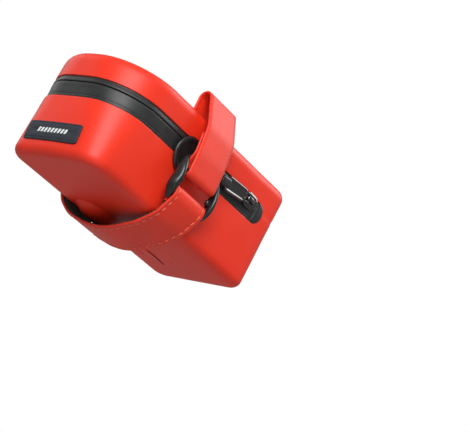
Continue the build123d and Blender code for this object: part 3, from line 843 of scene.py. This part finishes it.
def lower_band(top):
    """The band's hanging part, between two equal heights above its knees."""
    end = [(BAND_KNEE[0], top), BAND_KNEE]
    points = [*end, *BAND_LEFT, BAND_LOWEST, *BAND_RIGHT, *other_side(end)]
    radii = [BAND_KNEE_R, *BAND_RADII]
    return rounded(points, [*radii, BAND_LOWEST_R, *reversed(radii)])


PILE_SECTION = [(13.0, 0.0), (12.9, 0.2), (12.4, 0.25), (6, 0.25), (0, 0.26), (-6, 0.25), (-12.4, 0.25),
                (-12.9, 0.2), (-13.0, 0.0), (-12.9, -0.2), (-12.4, -0.25), (0, -0.25), (12.4, -0.25),
                (12.9, -0.2)]


def pile_line():
    """The inner face of the band and of its two folded-back flaps, as one line."""
    gap = BAND_T / 2 + LAYER_GAP + BAND_LINING_T / 2
    route = lower_band(BAND_KNEE[1] + 1)
    reach = LOWER_BAR[0] - BAND_WRAP_R - gap
    inner = [p - n * gap for p, n in zip(route, normals(route))]
    inner = [p for p in inner if abs(p.x) < reach - 0.4]
    flaps = []
    for end, side in ((inner[0], 1), (inner[-1], -1)):
        heights = [end.y + 1.2 + (LINING_TOP - end.y - 1.2) * k / 8 for k in range(9)]
        flaps.append([Vector((side * reach, z)) for z in heights])
    return [*reversed(flaps[0]), *inner, *flaps[1]]


def stitches(name, line, lift):
    """Separate raised stitches along a strip, in a row near each edge."""
    spots = even_spots([(0, *p) for p in line], STITCH_PITCH)
    out = normals(line)
    points, faces = [], []
    for across in (-STITCH_X, STITCH_X):
        for index, share, along in spots:
            spot = line[index].lerp(line[index + 1], share)
            up = out[index].lerp(out[index + 1], share).normalized()
            run = Vector((along.y, along.z))
            lean = random.uniform(-0.05, 0.05)
            size = random.uniform(0.92, 1.06)
            base = len(points)
            for k in range(7):
                t = -1 + 2 * k / 6
                radius = 0.3 * math.sqrt(max(0.03, 1 - abs(t) ** 3))
                for a, b in around(radius, 8):
                    place = spot + run * (t * STITCH_LENGTH * size / 2) + up * (lift - 0.16 * abs(t) ** 3 + b)
                    points.append((STRAP_X + across + lean * t * 3 + 1.15 * a, place.x, place.y))
            faces += grid(7, 8, close_columns=True, base=base)
    return new_mesh(name, points, faces)


# -------- buckles

CHEEK = [(40.3, 9.6, 39.7, 0.3), (42.0, 10.8, 39.6, 1.6), (43.6, 12.6, 39.5, 3.2), (44.9, 14.9, 39.5, 4.6),
         (45.8, 17.2, 39.7, 5.2), (46.4, 19.8, 40.0, 5.1), (46.7, 22.5, 40.2, 4.7), (46.6, 25.2, 40.5, 4.5),
         (46.1, 28.0, 40.8, 4.3), (45.3, 30.6, 41.0, 3.8), (44.4, 33.0, 41.2, 3.0), (43.5, 35.2, 41.5, 1.8),
         (42.7, 36.5, 41.9, 0.5)]


def cheek(name, side, face):
    """One crescent end piece of a buckle: (outer y, z, inner y, width) from its low tip to its high tip."""
    rings = []
    for n in range(49):
        place = n / 48 * (len(CHEEK) - 1)
        index = min(int(place), len(CHEEK) - 2)
        outer, z, inner, wide = smooth_row(CHEEK, index, place - index)
        wide *= 0.68 if face > 0 else 1.0
        middle, deep = (outer + inner) / 2, (outer - inner) / 2
        ring = []
        for a, b in around(1.0, 28):
            across, up = squared(a, 0.75), squared(b, 0.7)
            ridge = 1 - 0.5 * max(0.0, up) * (0.5 + 0.5 * across)
            x = BUCKLE_INNER / 2 + wide / 2 + across * wide / 2 * ridge
            ring.append((STRAP_X + face * x, side * (middle + up * deep), z))
        rings.append(ring)
    return tube(name, rings)


def smooth_row(rows, index, share):
    """A smooth curve through rows of numbers."""
    a, b, c, d = (rows[min(max(index + k, 0), len(rows) - 1)] for k in (-1, 0, 1, 2))
    return [0.5 * (2 * q + (r - p) * share + (2 * p - 5 * q + 4 * r - t) * share ** 2
                   + (3 * q - p - 3 * r + t) * share ** 3) for p, q, r, t in zip(a, b, c, d)]


def buckle(name, side):
    """A ladder-lock buckle: two cheeks, two bars between them and a small shoulder on each cheek."""
    parts = [cheek("cheek", side, -1), cheek("cheek", side, 1)]
    for y, z in (UPPER_BAR, LOWER_BAR):
        rings = []
        for x, radius in ((-15.2, 1.2), (-14.4, 1.9), (-13.7, 1.62), (-13.0, 1.5), (0, 1.47), (13.0, 1.5),
                          (13.7, 1.62), (14.4, 1.9), (15.2, 1.2)):
            rings.append([(STRAP_X + x, side * (y + a), z + b) for a, b in around(radius)])
        parts.append(tube("bar", rings))
    middle_y, middle_z = (UPPER_BAR[0] + LOWER_BAR[0]) / 2, (UPPER_BAR[1] + LOWER_BAR[1]) / 2
    for face in (-1, 1):
        rings = []
        for x, size in ((15.0, 1.5), (13.6, 1.45), (12.4, 1.3), (11.6, 1.0), (11.2, 0.5)):
            ring = round_rect(1.5 * size / 1.4, 1.7 * size / 1.4, 0.8, 24)
            rings.append([(STRAP_X + face * x, side * (middle_y + 0.7 + a), middle_z + b) for a, b in ring])
        parts.append(tube("shoulder", rings))
    return join(name, parts)


# -------- label, pad and keeper

def label_patch():
    """The blank rubber patch: it follows the rear wall, with a bevel and a fine groove inside its edge."""
    (centre_y, centre_z), (half_y, half_z) = LABEL_CENTRE, LABEL_HALF
    rings = []
    for inset, proud in ((0.0, -0.25), (0.0, 0.45), (0.12, 0.7), (0.4, 0.86), (0.8, 0.9), (0.95, 0.74),
                         (1.15, 0.74), (1.3, 0.9), (2.2, 0.9), (3.4, 0.9), (4.9, 0.9)):
        ring = round_rect(half_y - inset, half_z - inset, max(1.5 - inset, 0.3), 160)
        rings.append([rear_point(centre_y + a, centre_z + b, proud) for a, b in spread(ring, half_y - inset)])
    return tube("label_patch", rings)


def spread(ring, half):
    """Add points along a ring's long runs, so that it can follow a curved wall."""
    result = []
    for n, a in enumerate(ring):
        b = ring[(n + 1) % len(ring)]
        pieces = 14 if math.dist(a, b) > half * 0.8 else 1
        result += [lerp2(a, b, k / pieces) for k in range(pieces)]
    return result


def rear_point(y, z, proud):
    """A point on or near the rear wall, from its place across and up it."""
    share = z / HEIGHT
    radius = REAR_R_BOTTOM + (REAR_R_TOP - REAR_R_BOTTOM) * share
    half = half_width(z)
    flat = half - radius
    rear = -REAR_LEAN * share - crown(y, half)
    if abs(y) <= flat:
        return rear - proud, y, z
    over = min((abs(y) - flat) / radius, 1)
    angle = math.asin(over)
    return (rear + radius * (1 - math.cos(angle)) - proud * math.cos(angle),
            math.copysign(abs(y) + proud * math.sin(angle), y), z)


def label_marks():
    """A plain row of slanted bars on the patch."""
    pieces = []
    for k in range(9):
        middle = 2.55 * k - 9.1
        rings = []
        for inset, proud in ((0.0, 0.86), (0.0, 0.94), (0.08, 0.98), (0.3, 0.99)):
            ring = round_rect(0.78 - inset, 1.3 - inset, 0.3, 16)
            rings.append([rear_point(middle + a - 0.35 * b, 13.2 + b, proud) for a, b in ring])
        pieces.append(tube("bar", rings))
    return join("label_marks", pieces)


def dome_depth(x, y):
    """How far the dome stands below the case: steep at its rear, where it is creased, softer in front."""
    across, along = (y - PAD_CENTRE[1]) / PAD_SIZE[1], (x - PAD_CENTRE[0]) / PAD_SIZE[0]
    share = min(math.hypot(across, along), 1.0)
    steep = 0.5 - 0.5 * math.cos(math.atan2(across, along) - 0.3)
    firm = 1 - share ** 2.6
    soft = (1 - share * share) ** 1.2
    return PAD_CUT * (steep * firm + (1 - steep) * soft) * (1 + wobble((x, y, 0), 8.0, 0.04)) + 0.05


def pad():
    """The soft dome under the case."""
    points = []
    steps, rings = 64, 16
    for n in range(rings + 1):
        share = n / rings
        for a, b in around(share, steps):
            x, y = PAD_CENTRE[0] + PAD_SIZE[0] * a, PAD_CENTRE[1] + PAD_SIZE[1] * b
            points.append((x, y, -dome_depth(x, y)))
    points += [(x, y, 0.6) for x, y, _ in points[rings * steps:]]
    faces = grid(rings + 2, steps, close_columns=True)
    faces.append(tuple((rings + 1) * steps + k for k in range(steps)))
    return outward(new_mesh("pad_dome", points, faces))


def hook_patch():
    """The hook patch on the dome's lowest part, which follows it."""
    rings = []
    for inset, out in ((0.3, -0.3), (0.0, 0.0), (0.0, 0.2), (0.25, 0.3), (1.2, 0.32), (2.2, 0.33),
                       (3.3, 0.33)):
        ring = round_rect(PATCH_HALF[0] - inset, PATCH_HALF[1] - inset, max(PATCH_R - inset, 0.4), 32)
        spots = [(PATCH_CENTRE[0] + a, PATCH_CENTRE[1] + b) for a, b in spread(ring, 5.0)]
        rings.append([(x, y, -dome_depth(x, y) - out) for x, y in spots])
    return tube("hook_patch", rings)


def tongue():
    """The flat tongue in front of the dome, which follows the sagging underside and sinks at its front."""
    half = ((TONGUE_X[1] - TONGUE_X[0]) / 2, (TONGUE_Y[1] - TONGUE_Y[0]) / 2)
    middle = ((TONGUE_X[0] + TONGUE_X[1]) / 2, (TONGUE_Y[0] + TONGUE_Y[1]) / 2)
    rings = []
    for inset, z in ((-0.1, 0.6), (0.0, 0.1), (0.1, -0.25), (0.35, -0.5), (0.9, -0.62), (2.0, -0.66),
                     (3.5, -0.6), (5.5, -0.5), (7.5, -0.45)):
        ring = spread(round_rect(half[0] - inset, half[1] - inset, 5.0 - inset * 0.5), half[0])
        spots = [(middle[0] + a, middle[1] + b) for a, b in ring]
        rings.append([(x, y, z - belly(x, y) + 1.2 * max(0.0, (x - TONGUE_SINKS) / 24.0) ** 2)
                      for x, y in spots])
    return tube("pad_tongue", rings)


def slit():
    """The open cut along the front half of the tongue's inner edge: a thin strip in painted shadow, where the
    narrow groove is shaded.
    """
    rings = []
    for n in range(19):
        t = n / 18
        x, y = SLIT_REAR + (TONGUE_X[1] - SLIT_REAR) * t, SLIT_Y + 1.5 * t ** 2
        wide = 0.42 * math.sin(math.pi * min(max(t, 0.02), 0.98)) ** 0.5
        rings.append([(x, y + a * wide, z - belly(x, y))
                      for a, z in ((-1, -0.1), (0, -0.22), (1, -0.3), (1, 0.4), (-1, 0.4))])
    return tube("tongue_slit", rings)


def keeper():
    """The low bridge on the lid that the strap runs under."""
    half = STRAP_W / 2
    line = [(-half - 8.2, 63.35), (-half - 6, 63.5), (-half - 2.6, 63.6), (-half - 1.2, 64.2),
            (-half + 0.2, 65.1), (-half + 2.5, 65.45), (0, 65.6)]
    line += other_side(line[:-1])
    section = round_rect(0.45, 6.4, 0.4, 24)
    return tube("lid_keeper_strip", [[(STRAP_X + x, b, z + a) for a, b in section] for x, z in line])


# -------- build

for row in (
        (case_skin(), "red_skin", ("root", "tub"), "lower_shell upper_shell",
         (put((0, 0, BEND_TOP)), put((0, 0, BEND_BOTTOM)))),
        (zip_tape("zip_tape_low", LOWER_TAPE, SLOT_LOW, 1), "zip_tape", "tub", "zip_tape_lower"),
        (zip_tape("zip_tape_high", UPPER_TAPE, SLOT_HIGH, -1), "zip_tape", "root", "zip_tape_upper"),
        (zip_coil("coil_low", -0.5, -1), "zip_coil", "tub", "zip_coil_lower"),
        (zip_coil("coil_high", 0.5, 1), "zip_coil", "root", "zip_coil_upper"),
        (zip_garage("garage_cap_right", -1), "black_rubber", "root", "zip_garage_right"),
        (zip_garage("garage_cap_left", 1), "black_rubber", "root", "zip_garage_left"),
        (slider(), "slider_metal", "slider", "zip_slider"),
        (tab(), "slider_metal", "puller", "puller_tab"),
        (finger_loop(), "black_rubber", ("puller", "slider"), "pull_loop",
         (put(on_puller(TAB_REAR, 0, 0)), put(on_puller(LOOP_BENT, 0, 0)))),
        (strip("strap_webbing", strap_line(), webbing_section(STRAP_W, STRAP_T, 0.06, 0.05)),
         "red_strap", "root", "rail_strap"),
        (strip("band_webbing", band_line(), webbing_section(BAND_W, BAND_T, 0.16, 0.2)),
         "red_strap", "root", "belly_band"),
        (strip("band_pile", pile_line(), PILE_SECTION, 0.25), "hook_and_loop", "root", "band_lining"),
        (stitches("band_thread", lower_band(STITCH_TOP), BAND_T / 2 - 0.02),
         "thread", "root", "band_stitches"),
        (buckle("buckle_frame_left", 1), "black_plastic", "root", "buckle_left"),
        (buckle("buckle_frame_right", -1), "black_plastic", "root", "buckle_right"),
        (label_patch(), "label", "tub", "label"),
        (label_marks(), "label_print", "tub"),
        (pad(), "red_skin", "tub", "band_pad"),
        (tongue(), "red_skin", "tub"),
        (slit(), "red_shadow", "tub"),
        (hook_patch(), "hook_and_loop", "tub", "band_pad_hooks"),
        (keeper(), "red_strap", "root", "lid_keeper")):
    finish_piece(*row)

CARRIED = {
    "lower_foam": "foam", "upper_foam": "foam", "tub_lining": "lining", "lid_lining": "lining",
    "front_hinge_tape": "lining", "zip_stops": "slider_metal", "strap_hooks_left": "hook_and_loop",
    "strap_hooks_right": "hook_and_loop",
}
for node, slot in CARRIED.items():
    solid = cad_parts[node]
    solid.data.materials.clear()
    solid.data.materials.append(MATERIALS[slot])

# -------- stage, light and camera

scene = bpy.context.scene
scene.view_settings.view_transform = "Standard"


def camera_glow(tree, unseen, seen, socket):
    """Give a strength one value as the camera sees it and another as it lights the bag."""
    choice = add(tree, "MapRange", To_Min=unseen, To_Max=seen)
    tree.links.new(add(tree, "LightPath").outputs["Is Camera Ray"], choice.inputs["Value"])
    tree.links.new(choice.outputs["Result"], socket)


FLOOR_REACH, FLOOR_Z = 6, -1.5
corners = [(a * FLOOR_REACH, b * FLOOR_REACH, FLOOR_Z) for a, b in ((-1, -1), (1, -1), (1, 1), (-1, 1))]
floor = new_mesh("studio_floor", corners, [(0, 1, 2, 3)], move=False)
paper = node_material("paper", (0.86, 0.86, 0.87), 0.8, shades=0.02, patch=0.3, grain=0.004)
paint = paper.node_tree.nodes["Principled BSDF"]
paint.inputs["Emission Color"].default_value = (1, 1, 1, 1)
camera_glow(paper.node_tree, 0.0, 0.5, paint.inputs["Emission Strength"])
floor.data.materials.append(paper)

world = bpy.data.worlds.new("studio")
scene.world = world
world.use_nodes = True
background = world.node_tree.nodes["Background"]
background.inputs["Color"].default_value = (1, 1, 1, 1)
camera_glow(world.node_tree, 0.3, 1.0, background.inputs["Strength"])

AIM = Vector((0, 0, -0.03))


def area_light(name, place, size, power):
    """A rectangular light that faces the bag."""
    data = bpy.data.lights.new(name, "AREA")
    data.shape, data.size, data.size_y = "RECTANGLE", size[0], size[1]
    data.energy = power
    turn = (Vector(place) - AIM).normalized().to_track_quat("Z", "Y").to_matrix().to_4x4()
    placed(name, data).matrix_world = Matrix.Translation(place) @ turn


area_light("key", (-0.85, -0.72, 0.42), (0.7, 0.6), 14)
area_light("side", (0.8, -0.38, 0.85), (0.5, 0.7), 6)
area_light("low", (-0.4, -0.8, -0.6), (0.5, 0.06), 0.8)
area_light("rim", (-0.3, 0.9, 0.4), (0.8, 0.6), 2)

# The camera stands behind the bag, to its right and below it. It starts level, facing +Y, and is turned
# about Z, tilted up and then rolled, in degrees.
EYE, TURN, TILT, ROLL = (-0.6097, -0.6587, -0.3319), -46.386, 17.814, 24.856
data = bpy.data.cameras.new("camera")
data.lens, data.sensor_width, data.clip_start = 130.5, 36, 0.05
camera = placed("camera", data)
turned = Matrix.Identity(4)
for angle, axis in ((TURN, "Z"), (90 + TILT, "X"), (ROLL, "Z")):
    turned @= Matrix.Rotation(math.radians(angle), 4, axis)
camera.matrix_world = Matrix.Translation(EYE) @ turned
scene.camera = camera

bpy.context.view_layer.update()
